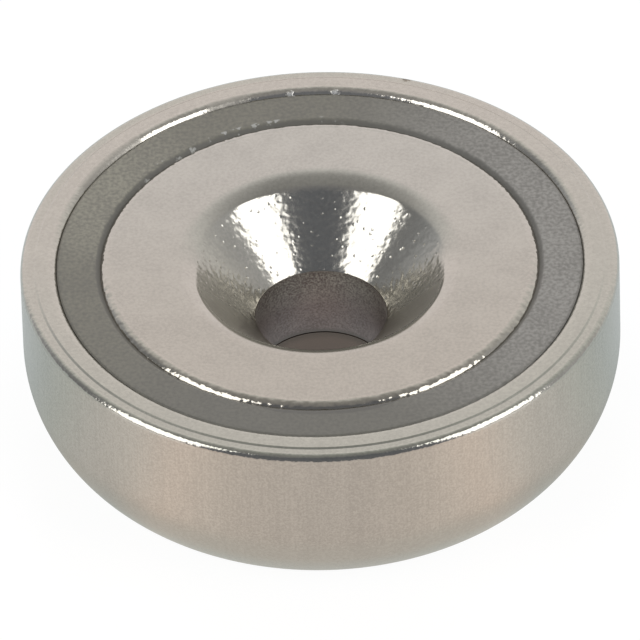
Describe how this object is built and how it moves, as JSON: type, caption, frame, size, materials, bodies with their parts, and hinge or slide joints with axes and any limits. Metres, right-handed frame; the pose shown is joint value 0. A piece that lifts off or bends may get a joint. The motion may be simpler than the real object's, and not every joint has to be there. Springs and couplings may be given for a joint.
{
  "type": "countersunk pot magnet",
  "caption": "Round steel cup with a potted ring magnet, flush holding face and a countersunk hole through its middle for a screw.",
  "frame": {"origin": "centre of the flat base, where the magnet stands", "axes": "+Z along the screw hole, from the base towards the holding face"},
  "size_m": [0.025, 0.025, 0.008],
  "materials": {
    "plated_steel": "satin nickel plating",
    "plated_magnet": "bright nickel plating",
    "potting_resin": "semi-matt cast resin"
  },
  "bodies": {
    "root": {"steel_pot": "plated_steel", "ring_magnet": "plated_magnet", "resin_ring": "potting_resin"}
  },
  "joints": []
}
